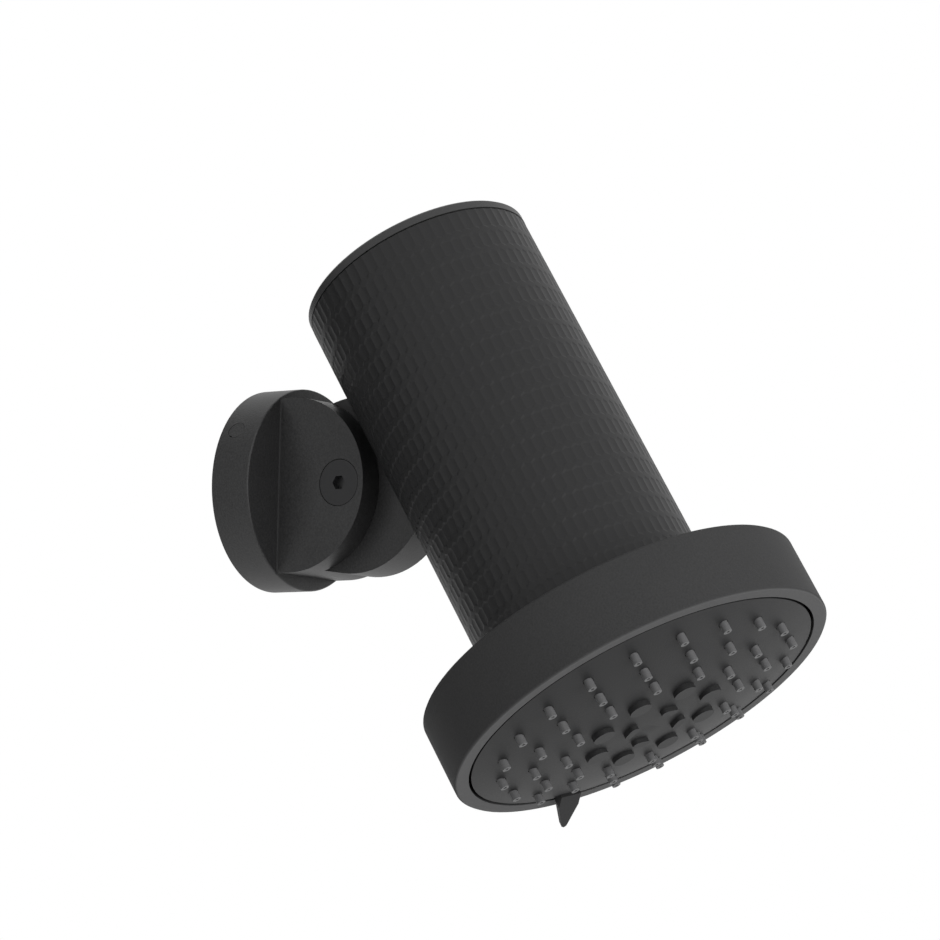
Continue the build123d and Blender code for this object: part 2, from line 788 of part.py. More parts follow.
# Soft nozzle mat, its nozzles standing through the plate
with BuildPart() as nozzle_mat:
    with BuildSketch(head.offset(dome(mat_r, dome_r - plate_t - mat_t))):
        with PolarLocations(ring_inner, 12, start_angle=nozzle_angle):
            Circle(nozzle_r)
    extrude(amount=-(dome(mat_r, dome_r - plate_t - mat_t) - dome(ring_inner, dome_r) + nozzle_h))
    with BuildSketch(head.offset(dome(mat_r, dome_r - plate_t - mat_t))):
        with PolarLocations(ring_mid, 16, start_angle=nozzle_angle + 11.25):
            Circle(nozzle_r)
    extrude(amount=-(dome(mat_r, dome_r - plate_t - mat_t) - dome(ring_mid, dome_r) + nozzle_h))
    with BuildSketch(head.offset(dome(mat_r, dome_r - plate_t - mat_t))):
        with PolarLocations(ring_outer, 19, start_angle=nozzle_angle + 18, angular_range=324, endpoint=True):
            Circle(nozzle_r)
    extrude(amount=-(dome(mat_r, dome_r - plate_t - mat_t) - dome(ring_outer, dome_r) + nozzle_h))
    with BuildSketch(section):
        with BuildLine():
            ThreePointArc(
                (0, dome(0, dome_r - plate_t)),
                (mat_r / 2, dome(mat_r / 2, dome_r - plate_t)),
                (mat_r, dome(mat_r, dome_r - plate_t)),
            )
            Line((mat_r, dome(mat_r, dome_r - plate_t)), (mat_r, dome(mat_r, dome_r - plate_t - mat_t)))
            ThreePointArc(
                (mat_r, dome(mat_r, dome_r - plate_t - mat_t)),
                (mat_r / 2, dome(mat_r / 2, dome_r - plate_t - mat_t)),
                (0, dome(0, dome_r - plate_t - mat_t)),
            )
            Line((0, dome(0, dome_r - plate_t - mat_t)), (0, dome(0, dome_r - plate_t)))
        make_face()
    revolve(axis=axis_body)
    with BuildSketch(section):
        with BuildLine():
            ThreePointArc(
                (0, dome(0, dome_r - plate_t - mat_t)),
                (mat_r / 2, dome(mat_r / 2, dome_r - plate_t - mat_t)),
                (mat_r, dome(mat_r, dome_r - plate_t - mat_t)),
            )
            Polyline(
                (mat_r, dome(mat_r, dome_r - plate_t - mat_t)),
                (mat_r, 2 * carrier_back),
                (0, 2 * carrier_back),
                (0, dome(0, dome_r - plate_t - mat_t)),
            )
        make_face()
    revolve(axis=axis_body, mode=Mode.SUBTRACT)
    with BuildSketch(head.offset(-2 * plate_rise)):
        with PolarLocations(ring_inner, 12, start_angle=nozzle_angle):
            Circle(nozzle_bore)
        with PolarLocations(ring_mid, 16, start_angle=nozzle_angle + 11.25):
            Circle(nozzle_bore)
        with PolarLocations(ring_outer, 19, start_angle=nozzle_angle + 18, angular_range=324, endpoint=True):
            Circle(nozzle_bore)
    extrude(amount=4 * plate_rise, mode=Mode.SUBTRACT)
nozzle_mat.part.label = "nozzle_mat"
export_step(nozzle_mat.part, "parts/nozzle_mat.step")

# Selector lever, a tapered fin that is moulded with the plate
lever_edge = plate_r - lever_side_gap
with BuildPart() as lever:
    with BuildSketch(lever_side.offset(-lever_base)):
        with BuildLine():
            Polyline(
                (lever_in, dome(lever_in, dome_r) + lever_root),
                (lever_edge, dome(lever_edge, dome_r) + lever_root),
                (lever_edge, -lever_under),
                (lever_out, -lever_rise + lever_t),
                (lever_out, -lever_rise),
                (lever_in, dome(lever_in, dome_r) - lever_step),
                close=True,
            )
        make_face()
    extrude(amount=2 * lever_base)
    with BuildSketch(head.offset(-2 * lever_rise)):
        with BuildLine(Plane.XY.rotated((0, 0, lever_angle))):
            Polyline(
                (lever_in - cut_over, -lever_base),
                (lever_edge, -lever_base),
                (lever_out - lever_tip, -lever_tip),
                (lever_out - 0.3 * lever_tip, -0.7 * lever_tip),
                (lever_out, 0),
                (lever_out - 0.3 * lever_tip, 0.7 * lever_tip),
                (lever_out - lever_tip, lever_tip),
                (lever_edge, lever_base),
                (lever_in - cut_over, lever_base),
                close=True,
            )
        make_face()
    extrude(amount=4 * lever_rise, mode=Mode.INTERSECT)

# Spray plate with buttons, nozzle holes, skirt and lever
with BuildPart() as spray_plate:
    with BuildSketch(head.offset(dome(button_ring, dome_r) - button_h)):
        with PolarLocations(button_ring, 8, start_angle=nozzle_angle):
            Circle(button_r)
    extrude(amount=button_h + button_root)
    with BuildSketch(head.offset(dome(bean_ring, dome_r) - button_h)):
        with PolarLocations(bean_ring, 4, start_angle=nozzle_angle):
            SlotOverall(bean_len, 2 * bean_half, rotation=90)
    extrude(amount=button_h + button_root)
    with BuildSketch(section):
        with BuildLine():
            ThreePointArc(
                (0, dome(0, dome_r)),
                (plate_r / 2, dome(plate_r / 2, dome_r)),
                (plate_r, dome(plate_r, dome_r)),
            )
            Polyline(
                (plate_r, dome(plate_r, dome_r)),
                (plate_r, skirt_top),
                (skirt_in, skirt_top),
                (skirt_in, dome(skirt_in, dome_r - plate_t)),
            )
            ThreePointArc(
                (skirt_in, dome(skirt_in, dome_r - plate_t)),
                (skirt_in / 2, dome(skirt_in / 2, dome_r - plate_t)),
                (0, dome(0, dome_r - plate_t)),
            )
            Line((0, dome(0, dome_r - plate_t)), (0, dome(0, dome_r)))
        make_face()
    revolve(axis=axis_body)
    with BuildSketch(head.offset(-plate_rise)):
        with PolarLocations(ring_inner, 12, start_angle=nozzle_angle):
            Circle(nozzle_hole)
        with PolarLocations(ring_mid, 16, start_angle=nozzle_angle + 11.25):
            Circle(nozzle_hole)
        with PolarLocations(ring_outer, 19, start_angle=nozzle_angle + 18, angular_range=324, endpoint=True):
            Circle(nozzle_hole)
    extrude(amount=2 * plate_rise, mode=Mode.SUBTRACT)
    add(lever.part)
spray_plate.part.label = "spray_plate"
export_step(spray_plate.part, "parts/spray_plate.step")
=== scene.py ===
"""Wall shower head in matt black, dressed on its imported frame."""

import json
from math import pi, radians

import bpy
from mathutils import Matrix, Vector


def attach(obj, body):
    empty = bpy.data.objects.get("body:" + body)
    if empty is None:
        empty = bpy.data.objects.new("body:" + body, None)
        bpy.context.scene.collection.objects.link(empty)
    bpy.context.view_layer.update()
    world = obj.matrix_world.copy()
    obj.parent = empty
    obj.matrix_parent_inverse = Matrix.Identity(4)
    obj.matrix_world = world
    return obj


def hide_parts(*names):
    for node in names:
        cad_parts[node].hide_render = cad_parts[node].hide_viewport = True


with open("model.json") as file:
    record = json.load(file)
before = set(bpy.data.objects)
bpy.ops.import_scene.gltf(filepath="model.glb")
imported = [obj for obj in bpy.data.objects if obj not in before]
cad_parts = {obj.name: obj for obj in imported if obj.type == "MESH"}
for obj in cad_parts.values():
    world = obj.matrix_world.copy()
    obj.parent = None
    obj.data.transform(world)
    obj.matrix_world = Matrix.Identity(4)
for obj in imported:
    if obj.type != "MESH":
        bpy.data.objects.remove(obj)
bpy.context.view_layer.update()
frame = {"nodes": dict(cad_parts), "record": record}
cad = frame["nodes"]

# Wall bracket: one casting, a round flange with a fork of two cheeks.
# It is coated in a fine matt black, and screws to the pipe in the wall.
# The inner corner of cheek and flange has painted shade: a darker, less glossy colour along its line, so the
# line shows faint.
bracket_tone = (0.0440, 0.0440, 0.0445)
bracket_deep = (0.0190, 0.0190, 0.0195)
bracket_roughness = 0.48
bracket_specular = 0.42
bracket_grain = 1700.0
bracket_grain_depth = 0.00012
# Painted shade: a darker colour and lower specular along the inner corner of cheek and flange.
painted_corner_shade_tone = (0.0180, 0.0180, 0.0184, 1.0)
painted_corner_shade_specular = 0.22
corner_line = (0.0155, 0.0136, 0.0)
corner_reach = 0.0003
corner_fade = 0.0003
cloud_scale = 55.0
pebble_share = 0.75
gloss_swing = 0.06
grain_strength = 0.7


def grained_finish(name, tone, deep, roughness, specular, grain, depth):
    """Moulded or coated finish: a fine pebbled grain, faint clouding and uneven gloss."""
    finish = bpy.data.materials.new(name)
    finish.use_nodes = True
    tree = finish.node_tree
    shader = tree.nodes["Principled BSDF"]
    shader.inputs["Specular IOR Level"].default_value = specular
    place = tree.nodes.new("ShaderNodeTexCoord")
    cloud = tree.nodes.new("ShaderNodeTexNoise")
    cloud.inputs["Scale"].default_value = cloud_scale
    cloud.inputs["Detail"].default_value = 4.0
    shade = tree.nodes.new("ShaderNodeValToRGB")
    shade.color_ramp.elements[0].position = 0.3
    shade.color_ramp.elements[0].color = (*deep, 1.0)
    shade.color_ramp.elements[1].position = 0.7
    shade.color_ramp.elements[1].color = (*tone, 1.0)
    pebble = tree.nodes.new("ShaderNodeTexNoise")
    pebble.inputs["Scale"].default_value = grain
    pebble.inputs["Detail"].default_value = 2.0
    speck = tree.nodes.new("ShaderNodeMix")
    speck.inputs["Factor"].default_value = pebble_share
    gloss = tree.nodes.new("ShaderNodeMapRange")
    gloss.inputs["To Min"].default_value = roughness - gloss_swing
    gloss.inputs["To Max"].default_value = roughness + gloss_swing
    bump = tree.nodes.new("ShaderNodeBump")
    bump.inputs["Strength"].default_value = grain_strength
    bump.inputs["Distance"].default_value = depth
    tree.links.new(place.outputs["Object"], cloud.inputs["Vector"])
    tree.links.new(place.outputs["Object"], pebble.inputs["Vector"])
    tree.links.new(cloud.outputs["Fac"], speck.inputs["A"])
    tree.links.new(pebble.outputs["Fac"], speck.inputs["B"])
    tree.links.new(speck.outputs["Result"], shade.inputs["Fac"])
    tree.links.new(shade.outputs["Color"], shader.inputs["Base Color"])
    tree.links.new(pebble.outputs["Fac"], gloss.inputs["Value"])
    tree.links.new(gloss.outputs["Result"], shader.inputs["Roughness"])
    tree.links.new(pebble.outputs["Fac"], bump.inputs["Height"])
    tree.links.new(bump.outputs["Normal"], shader.inputs["Normal"])
    return finish


def dress(finish, *names):
    """Gives CAD nodes one finish."""
    for name in names:
        cad[name].data.materials.clear()
        cad[name].data.materials.append(finish)


bracket_finish = grained_finish(
    "bracket_coat", bracket_tone, bracket_deep,
    bracket_roughness, bracket_specular, bracket_grain, bracket_grain_depth,
)
dress(bracket_finish, "wall_bracket", "rim_plug")
bracket_tree = bracket_finish.node_tree
bracket_shader = bracket_tree.nodes["Principled BSDF"]
bracket_shade = bracket_shader.inputs["Base Color"].links[0].from_socket
# Painted shade mask: near the corner line the colour darkens and the specular drops.
bracket_place = bracket_tree.nodes.new("ShaderNodeTexCoord")
both_sides = bracket_tree.nodes.new("ShaderNodeVectorMath")
both_sides.operation = "ABSOLUTE"
across = bracket_tree.nodes.new("ShaderNodeVectorMath")
across.operation = "MULTIPLY"
across.inputs[1].default_value = (1.0, 1.0, 0.0)
from_corner = bracket_tree.nodes.new("ShaderNodeVectorMath")
from_corner.operation = "DISTANCE"
from_corner.inputs[1].default_value = corner_line
painted_corner_shade_mask = bracket_tree.nodes.new("ShaderNodeMapRange")
painted_corner_shade_mask.inputs["From Min"].default_value = corner_reach + corner_fade
painted_corner_shade_mask.inputs["From Max"].default_value = corner_reach
painted_corner_shade = bracket_tree.nodes.new("ShaderNodeMix")
painted_corner_shade.data_type = "RGBA"
painted_corner_shade.inputs["B"].default_value = painted_corner_shade_tone
painted_corner_shade_gloss = bracket_tree.nodes.new("ShaderNodeMapRange")
painted_corner_shade_gloss.inputs["To Min"].default_value = bracket_specular
painted_corner_shade_gloss.inputs["To Max"].default_value = painted_corner_shade_specular
bracket_tree.links.new(bracket_place.outputs["Object"], both_sides.inputs[0])
bracket_tree.links.new(both_sides.outputs["Vector"], across.inputs[0])
bracket_tree.links.new(across.outputs["Vector"], from_corner.inputs[0])
bracket_tree.links.new(from_corner.outputs["Value"], painted_corner_shade_mask.inputs["Value"])
bracket_tree.links.new(painted_corner_shade_mask.outputs["Result"], painted_corner_shade.inputs["Factor"])
bracket_tree.links.new(bracket_shade, painted_corner_shade.inputs["A"])
bracket_tree.links.new(painted_corner_shade.outputs["Result"], bracket_shader.inputs["Base Color"])
bracket_tree.links.new(painted_corner_shade_mask.outputs["Result"], painted_corner_shade_gloss.inputs["Value"])
bracket_tree.links.new(painted_corner_shade_gloss.outputs["Result"], bracket_shader.inputs["Specular IOR Level"])

# Inlet fitting: a turned brass bush with a half inch pipe thread, let into the flange.
# The thread is one helix with a sharp ridge inside the bore.
brass_tone = (0.62, 0.43, 0.17)
brass_dark = (0.44, 0.29, 0.10)
thread_radius = 0.0096
thread_depth = 0.0009
thread_pitch = 0.001814
thread_turns = 2.25
turn_steps = 48
weld_gap = 1e-6


def turned_metal(name, tone, dark, roughness, ring_axis):
    """Bright metal with fine turning rings about one axis and dull spots."""
    finish = bpy.data.materials.new(name)
    finish.use_nodes = True
    tree = finish.node_tree
    shader = tree.nodes["Principled BSDF"]
    shader.inputs["Metallic"].default_value = 1.0
    place = tree.nodes.new("ShaderNodeTexCoord")
    rings = tree.nodes.new("ShaderNodeTexWave")
    rings.wave_type = "RINGS"
    rings.rings_direction = ring_axis
    rings.inputs["Scale"].default_value = 900.0
    rings.inputs["Distortion"].default_value = 0.8
    stain = tree.nodes.new("ShaderNodeTexNoise")
    stain.inputs["Scale"].default_value = 240.0
    stain.inputs["Detail"].default_value = 5.0
    shade = tree.nodes.new("ShaderNodeValToRGB")
    shade.color_ramp.elements[0].position = 0.35
    shade.color_ramp.elements[0].color = (*dark, 1.0)
    shade.color_ramp.elements[1].position = 0.65
    shade.color_ramp.elements[1].color = (*tone, 1.0)
    gloss = tree.nodes.new("ShaderNodeMapRange")
    gloss.inputs["To Min"].default_value = roughness - 0.08
    gloss.inputs["To Max"].default_value = roughness + 0.12
    bump = tree.nodes.new("ShaderNodeBump")
    bump.inputs["Strength"].default_value = 0.2
    bump.inputs["Distance"].default_value = 0.00002
    tree.links.new(place.outputs["Object"], rings.inputs["Vector"])
    tree.links.new(place.outputs["Object"], stain.inputs["Vector"])
    tree.links.new(stain.outputs["Fac"], shade.inputs["Fac"])
    tree.links.new(shade.outputs["Color"], shader.inputs["Base Color"])
    tree.links.new(stain.outputs["Fac"], gloss.inputs["Value"])
    tree.links.new(gloss.outputs["Result"], shader.inputs["Roughness"])
    tree.links.new(rings.outputs["Fac"], bump.inputs["Height"])
    tree.links.new(bump.outputs["Normal"], shader.inputs["Normal"])
    return finish


brass_finish = turned_metal("turned_brass", brass_tone, brass_dark, 0.28, "Y")
dress(brass_finish, "inlet_fitting")
bpy.ops.object.select_all(action="DESELECT")
bpy.ops.mesh.primitive_plane_add(size=thread_depth)
inlet_thread = bpy.context.object
inlet_thread.name = "inlet_thread_ridge"
inlet_thread.data.transform(Matrix.Rotation(radians(45), 4, "Z"))
inlet_thread.data.transform(Matrix.Translation((thread_radius, -thread_pitch, 0)))
turns = inlet_thread.modifiers.new("turns", "SCREW")
turns.axis = "Y"
turns.angle = 2 * pi * thread_turns
turns.screw_offset = -thread_pitch * thread_turns
thread_steps = int(turn_steps * thread_turns)
turns.steps = thread_steps
turns.render_steps = thread_steps
turns.use_merge_vertices = True
bpy.ops.object.modifier_apply(modifier="turns")
bpy.ops.object.mode_set(mode="EDIT")
bpy.ops.mesh.select_all(action="SELECT")
bpy.ops.mesh.remove_doubles(threshold=weld_gap)
bpy.ops.mesh.fill_holes(sides=4)
bpy.ops.mesh.select_all(action="SELECT")
bpy.ops.mesh.normals_make_consistent(inside=False)
bpy.ops.object.mode_set(mode="OBJECT")
inlet_thread.data.materials.append(brass_finish)
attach(inlet_thread, "bracket")

# Screen, lock screw, ball, spring and clip: small bright parts of drawn and pressed steel.
# The screen drops into the fitting, and the lock screw sits under the flange's rim plug.
steel_tone = (0.58, 0.58, 0.59)
steel_dark = (0.42, 0.42, 0.43)
steel_finish = turned_metal("drawn_steel", steel_tone, steel_dark, 0.3, "Y")
dress(steel_finish, "inlet_screen", "lock_screw", "detent_ball", "detent_spring", "carrier_clip")

# Washers, O-rings and gaskets: soft black rubber, moulded and pressed in place.
# Each seals one joint of the water's way.
seal_tone = (0.020, 0.020, 0.020)
seal_deep = (0.012, 0.012, 0.012)
seal_finish = grained_finish(
    "seal_rubber", seal_tone, seal_deep, roughness=0.62, specular=0.3, grain=1500.0, depth=0.00003
)
seals = ("inlet_washer", "spindle_seal_near", "spindle_seal_far", "cap_gasket", "head_seal")
dress(seal_finish, *seals, "cartridge_gasket", "port_seal")

# Pivot spindle and its nut: turned steel with a black coat, flush in the two cheeks.
# A hex key in the near head tightens the fork on the tongue.
spindle_tone = (0.020, 0.020, 0.021)
spindle_deep = (0.016, 0.016, 0.017)
spindle_finish = grained_finish(
    "spindle_coat", spindle_tone, spindle_deep, roughness=0.42, specular=0.4, grain=3200.0, depth=0.00002
)
dress(spindle_finish, "pivot_spindle", "spindle_nut")

# Filter housing: a moulded tube in one piece with the round tongue that tilts in the fork.
# Its plain outer wall lies under the sleeve, so that only the tongue and the top lip show.
housing_finish = grained_finish(
    "housing_moulding", bracket_tone, bracket_deep,
    bracket_roughness, bracket_specular, bracket_grain, bracket_grain_depth,
)
dress(housing_finish, "filter_housing")

# Friction washers: natural white plastic rings let into the tongue's two faces.
# The cartridge's cup, lid and divider and the flow regulator are the same plastic.
white_tone = (0.76, 0.76, 0.73)
white_deep = (0.66, 0.66, 0.63)
white_finish = grained_finish(
    "white_moulding", white_tone, white_deep, roughness=0.5, specular=0.4, grain=1400.0, depth=0.00003
)
dress(white_finish, "friction_washer_near", "friction_washer_far", "flow_regulator")
dress(white_finish, "cartridge_cup", "media_divider", "cartridge_lid")

# Grip sleeve: a soft-touch tube moulded with rows of long six-sided hollows, as if hammered.
# Sharp crests part the columns, and a thin zigzag land parts the rows.
tilt_joint, turn_joint = frame["record"]["behaviour"]["joints"][0:2]
pivot = Vector(tilt_joint["pos_m"])
face_centre = Vector(turn_joint["pos_m"])
up_body = Vector(turn_joint["axis"]).normalized()
to_wall = Vector((1, 0, 0)).cross(up_body) * -1
head_turn = Matrix((Vector((1, 0, 0)), to_wall, up_body)).transposed()
head_frame = Matrix.Translation(face_centre) @ head_turn.to_4x4()
sleeve_low = 0.0222
sleeve_high = 0.1530
sleeve_bore = 0.0338
sleeve_radius = 0.0362
cell_columns = 70
cell_rows = 18
cell_wide = 2 * pi * sleeve_radius / cell_columns
cell_tall = 0.00689
top_row = 0.14543
cell_depth = 0.00016
cell_steps = 3
hollow = (0.0, 0.556, 0.889, 1.0)
land_edge = (0.0014, 0.0010, 0.0006, 0.0003)
end_run = 0.0008
least_run = 0.3
seam_gap = 2e-5
crest_angle = 6.0
first_column = radians(1.0)
mouth_half = 0.00707
mouth_radius = 0.02712
mouth_sides = 160
sleeve_tone = (0.0185, 0.0185, 0.0190)
sleeve_deep = (0.0150, 0.0150, 0.0155)


def pick(shape, test):
    """Selects the vertices of a shape, in edit mode, that pass a test on their place."""
    bpy.ops.mesh.select_all(action="DESELECT")
    bpy.ops.object.mode_set(mode="OBJECT")
    for point in shape.data.vertices:
        point.select = test(point.co)
    bpy.ops.object.mode_set(mode="EDIT")


bpy.ops.object.select_all(action="DESELECT")
bpy.ops.mesh.primitive_grid_add(x_subdivisions=2 * cell_steps, y_subdivisions=2 * cell_steps, size=1.0)
sleeve = bpy.context.object
sleeve.name = "sleeve_relief"
sleeve.data.transform(Matrix.Rotation(radians(90), 4, "X"))
sleeve.data.transform(Matrix.Diagonal((cell_wide, 1.0, cell_tall, 1.0)))
step_wide = cell_wide / 2 / cell_steps
step_tall = cell_tall / 2 / cell_steps
slack = cell_wide / 50
bpy.ops.object.mode_set(mode="EDIT")
bpy.ops.mesh.select_mode(type="VERT")
for column in range(-cell_steps, cell_steps + 1):
    sunk = cell_depth * hollow[abs(column)]
    edge = land_edge[abs(column)]
    foot = edge + end_run * max(hollow[abs(column)], least_run)
    heights = {0: 0.0, 1: edge, 2: foot, 3: cell_tall / 2}
    for row in range(-cell_steps, cell_steps + 1):
        place = Vector((column * step_wide, 0, row * step_tall))
        pick(sleeve, lambda co: (co - place).length < slack)
        lift = heights[abs(row)] * (1 if row > 0 else -1) - row * step_tall
        bpy.ops.transform.translate(value=(0, sunk if abs(row) > 1 else 0, lift))
bpy.ops.mesh.select_all(action="SELECT")
bpy.ops.mesh.quads_convert_to_tris(quad_method="SHORTEST_DIAGONAL")
bpy.ops.object.mode_set(mode="OBJECT")
sleeve.data.transform(Matrix.Translation((cell_wide / 2, 0, cell_tall / 2)))
columns = sleeve.modifiers.new("columns", "ARRAY")
columns.use_relative_offset = False
columns.use_constant_offset = True
columns.constant_offset_displace = (cell_wide, 0, 0)
columns.count = cell_columns
columns.use_merge_vertices = True
columns.merge_threshold = weld_gap
bpy.ops.object.modifier_apply(modifier="columns")
rows = sleeve.modifiers.new("rows", "ARRAY")
rows.use_relative_offset = False
rows.use_constant_offset = True
rows.constant_offset_displace = (0, 0, cell_tall)
rows.count = cell_rows
rows.use_merge_vertices = True
rows.merge_threshold = weld_gap
bpy.ops.object.modifier_apply(modifier="rows")
wrap = sleeve.modifiers.new("wrap", "SIMPLE_DEFORM")
wrap.deform_method = "BEND"
wrap.deform_axis = "Z"
wrap.angle = 2 * pi
bpy.ops.object.modifier_apply(modifier="wrap")
middle = sum((point.co for point in sleeve.data.vertices), Vector()) / len(sleeve.data.vertices)
rows_low = top_row - (cell_rows - 0.5) * cell_tall
sleeve.data.transform(Matrix.Translation((-middle.x, -middle.y, rows_low)))
bpy.ops.object.mode_set(mode="EDIT")
bpy.ops.mesh.select_all(action="SELECT")
bpy.ops.mesh.remove_doubles(threshold=seam_gap)
pick(sleeve, lambda co: co.z < rows_low + slack)
bpy.ops.mesh.extrude_edges_move(TRANSFORM_OT_translate={"value": (0, 0, sleeve_low - rows_low)})
rows_high = rows_low + cell_rows * cell_tall
pick(sleeve, lambda co: co.z > rows_high - slack)
bpy.ops.mesh.extrude_edges_move(TRANSFORM_OT_translate={"value": (0, 0, sleeve_high - rows_high)})
bpy.ops.mesh.extrude_edges_move()
bore_share = sleeve_bore / sleeve_radius
bpy.ops.transform.resize(value=(bore_share, bore_share, 1), center_override=(0, 0, 0))
bpy.ops.mesh.extrude_edges_move(TRANSFORM_OT_translate={"value": (0, 0, sleeve_low - sleeve_high)})
bpy.ops.mesh.select_all(action="DESELECT")
bpy.ops.mesh.select_non_manifold()
bpy.ops.mesh.bridge_edge_loops()
bpy.ops.mesh.select_all(action="SELECT")
bpy.ops.mesh.normals_make_consistent(inside=False)
bpy.ops.object.mode_set(mode="OBJECT")
sleeve.data.transform(head_frame @ Matrix.Rotation(first_column, 4, "Z"))
bpy.ops.mesh.primitive_cylinder_add(vertices=mouth_sides, radius=mouth_radius, depth=2 * mouth_half)
mouth = bpy.context.object
mouth.data.transform(Matrix.Translation(pivot) @ Matrix.Rotation(radians(90), 4, "Y"))
bpy.ops.object.select_all(action="DESELECT")
bpy.context.view_layer.objects.active = sleeve
opening = sleeve.modifiers.new("opening", "BOOLEAN")
opening.operation = "DIFFERENCE"
opening.solver = "EXACT"
opening.object = mouth
bpy.ops.object.modifier_apply(modifier="opening")
bpy.data.objects.remove(mouth)
sleeve.select_set(True)
bpy.ops.object.shade_smooth_by_angle(angle=radians(crest_angle))
sleeve_finish = grained_finish(
    "sleeve_soft_touch", sleeve_tone, sleeve_deep, roughness=0.5, specular=0.3, grain=3000.0, depth=0.00002
)
sleeve.data.materials.clear()
sleeve.data.materials.append(sleeve_finish)
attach(sleeve, "head")
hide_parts("grip_sleeve")

# Filter cartridge: pads of white fleece, a block of pressed carbon and a bed of mineral beads.
# They are stacked in the cup and change as one refill.
fleece_tone = (0.80, 0.80, 0.77)
fleece_deep = (0.70, 0.70, 0.67)
carbon_tone = (0.035, 0.035, 0.036)
carbon_deep = (0.018, 0.018, 0.019)
bead_tone = (0.60, 0.48, 0.34)
bead_deep = (0.42, 0.32, 0.22)
fleece_finish = grained_finish(
    "pressed_fleece", fleece_tone, fleece_deep, roughness=0.85, specular=0.2, grain=900.0, depth=0.0003
)
dress(fleece_finish, "outlet_pad", "inlet_pad")
carbon_finish = grained_finish(
    "pressed_carbon", carbon_tone, carbon_deep, roughness=0.8, specular=0.3, grain=1100.0, depth=0.0003
)
dress(carbon_finish, "carbon_block")
bead_finish = grained_finish(
    "mineral_beads", bead_tone, bead_deep, roughness=0.6, specular=0.4, grain=420.0, depth=0.0008
)
dress(bead_finish, "mineral_bed")

# Service cap: a moulded screw cap with a plain band that closes the top of the body.
# It unscrews to change the cartridge, and a fine groove parts it from the sleeve.
cap_tone = (0.0470, 0.0470, 0.0475)
cap_deep = (0.0390, 0.0390, 0.0395)
cap_finish = grained_finish(
    "cap_moulding", cap_tone, cap_deep, roughness=0.46, specular=0.34, grain=1900.0, depth=0.00006
)
dress(cap_finish, "top_cap")

# Spray head drum: a wide moulded drum with a flat front ring and small broken edges.
# The housing screws on its spigot, and the manifold closes it inside.
# The ring's colour is lighter than the drum's wall as painted light for its lit face, and the ring is
# glossier.
drum_tone = (0.0540, 0.0540, 0.0545)
drum_deep = (0.0420, 0.0420, 0.0425)
drum_specular = 0.10
# Painted light: the front ring's lighter colour stands for its brighter lit face.
ring_painted_light_tone = (0.070, 0.070, 0.071, 1.0)
ring_specular = 0.55
ring_edge = 0.0004
inner_tone = (0.050, 0.050, 0.052)
inner_deep = (0.040, 0.040, 0.042)
drum_finish = grained_finish(
    "drum_moulding", drum_tone, drum_deep, roughness=0.68, specular=drum_specular, grain=1800.0, depth=0.00008
)
dress(drum_finish, "head_shell")
drum_tree = drum_finish.node_tree
drum_shader = drum_tree.nodes["Principled BSDF"]
drum_shade = drum_shader.inputs["Base Color"].links[0].from_socket
drum_place = drum_tree.nodes.new("ShaderNodeTexCoord")
drum_height = drum_tree.nodes.new("ShaderNodeVectorMath")
drum_height.operation = "DOT_PRODUCT"
drum_height.inputs[1].default_value = up_body
# Painted light mask: the front ring gets the lighter colour and more specular than the wall.
on_ring = drum_tree.nodes.new("ShaderNodeMapRange")
on_ring.inputs["From Min"].default_value = face_centre.dot(up_body) + ring_edge
on_ring.inputs["From Max"].default_value = face_centre.dot(up_body)
ring_painted_light = drum_tree.nodes.new("ShaderNodeMix")
ring_painted_light.data_type = "RGBA"
ring_painted_light.inputs["B"].default_value = ring_painted_light_tone
drum_tree.links.new(drum_place.outputs["Object"], drum_height.inputs[0])
drum_tree.links.new(drum_height.outputs["Value"], on_ring.inputs["Value"])
drum_tree.links.new(on_ring.outputs["Result"], ring_painted_light.inputs["Factor"])
drum_tree.links.new(drum_shade, ring_painted_light.inputs["A"])
drum_tree.links.new(ring_painted_light.outputs["Result"], drum_shader.inputs["Base Color"])
ring_sheen = drum_tree.nodes.new("ShaderNodeMapRange")
ring_sheen.inputs["To Min"].default_value = drum_specular
ring_sheen.inputs["To Max"].default_value = ring_specular
drum_tree.links.new(on_ring.outputs["Result"], ring_sheen.inputs["Value"])
drum_tree.links.new(ring_sheen.outputs["Result"], drum_shader.inputs["Specular IOR Level"])
inner_finish = grained_finish(
    "inner_moulding", inner_tone, inner_deep, roughness=0.5, specular=0.35, grain=2000.0, depth=0.00003
)
dress(inner_finish, "manifold_plate", "spray_carrier")

# Spray plate: a shallow domed moulding with round pads, nozzle holes and the selector's lever.
# It turns with its carrier to choose one ring of nozzles or another.
plate_tone = (0.0190, 0.0190, 0.0195)
plate_deep = (0.0160, 0.0160, 0.0165)
plate_finish = grained_finish(
    "plate_moulding", plate_tone, plate_deep, roughness=0.56, specular=0.30, grain=1800.0, depth=0.00005
)
dress(plate_finish, "spray_plate")

# Nozzle mat: one soft silicone moulding whose nozzles stand through the plate.
# The tips are rubbed with a finger to clear them.
nozzle_tone = (0.150, 0.150, 0.152)
nozzle_deep = (0.125, 0.125, 0.127)
nozzle_finish = grained_finish(
    "nozzle_silicone", nozzle_tone, nozzle_deep, roughness=0.5, specular=0.35, grain=2200.0, depth=0.00002
)
dress(nozzle_finish, "nozzle_mat")

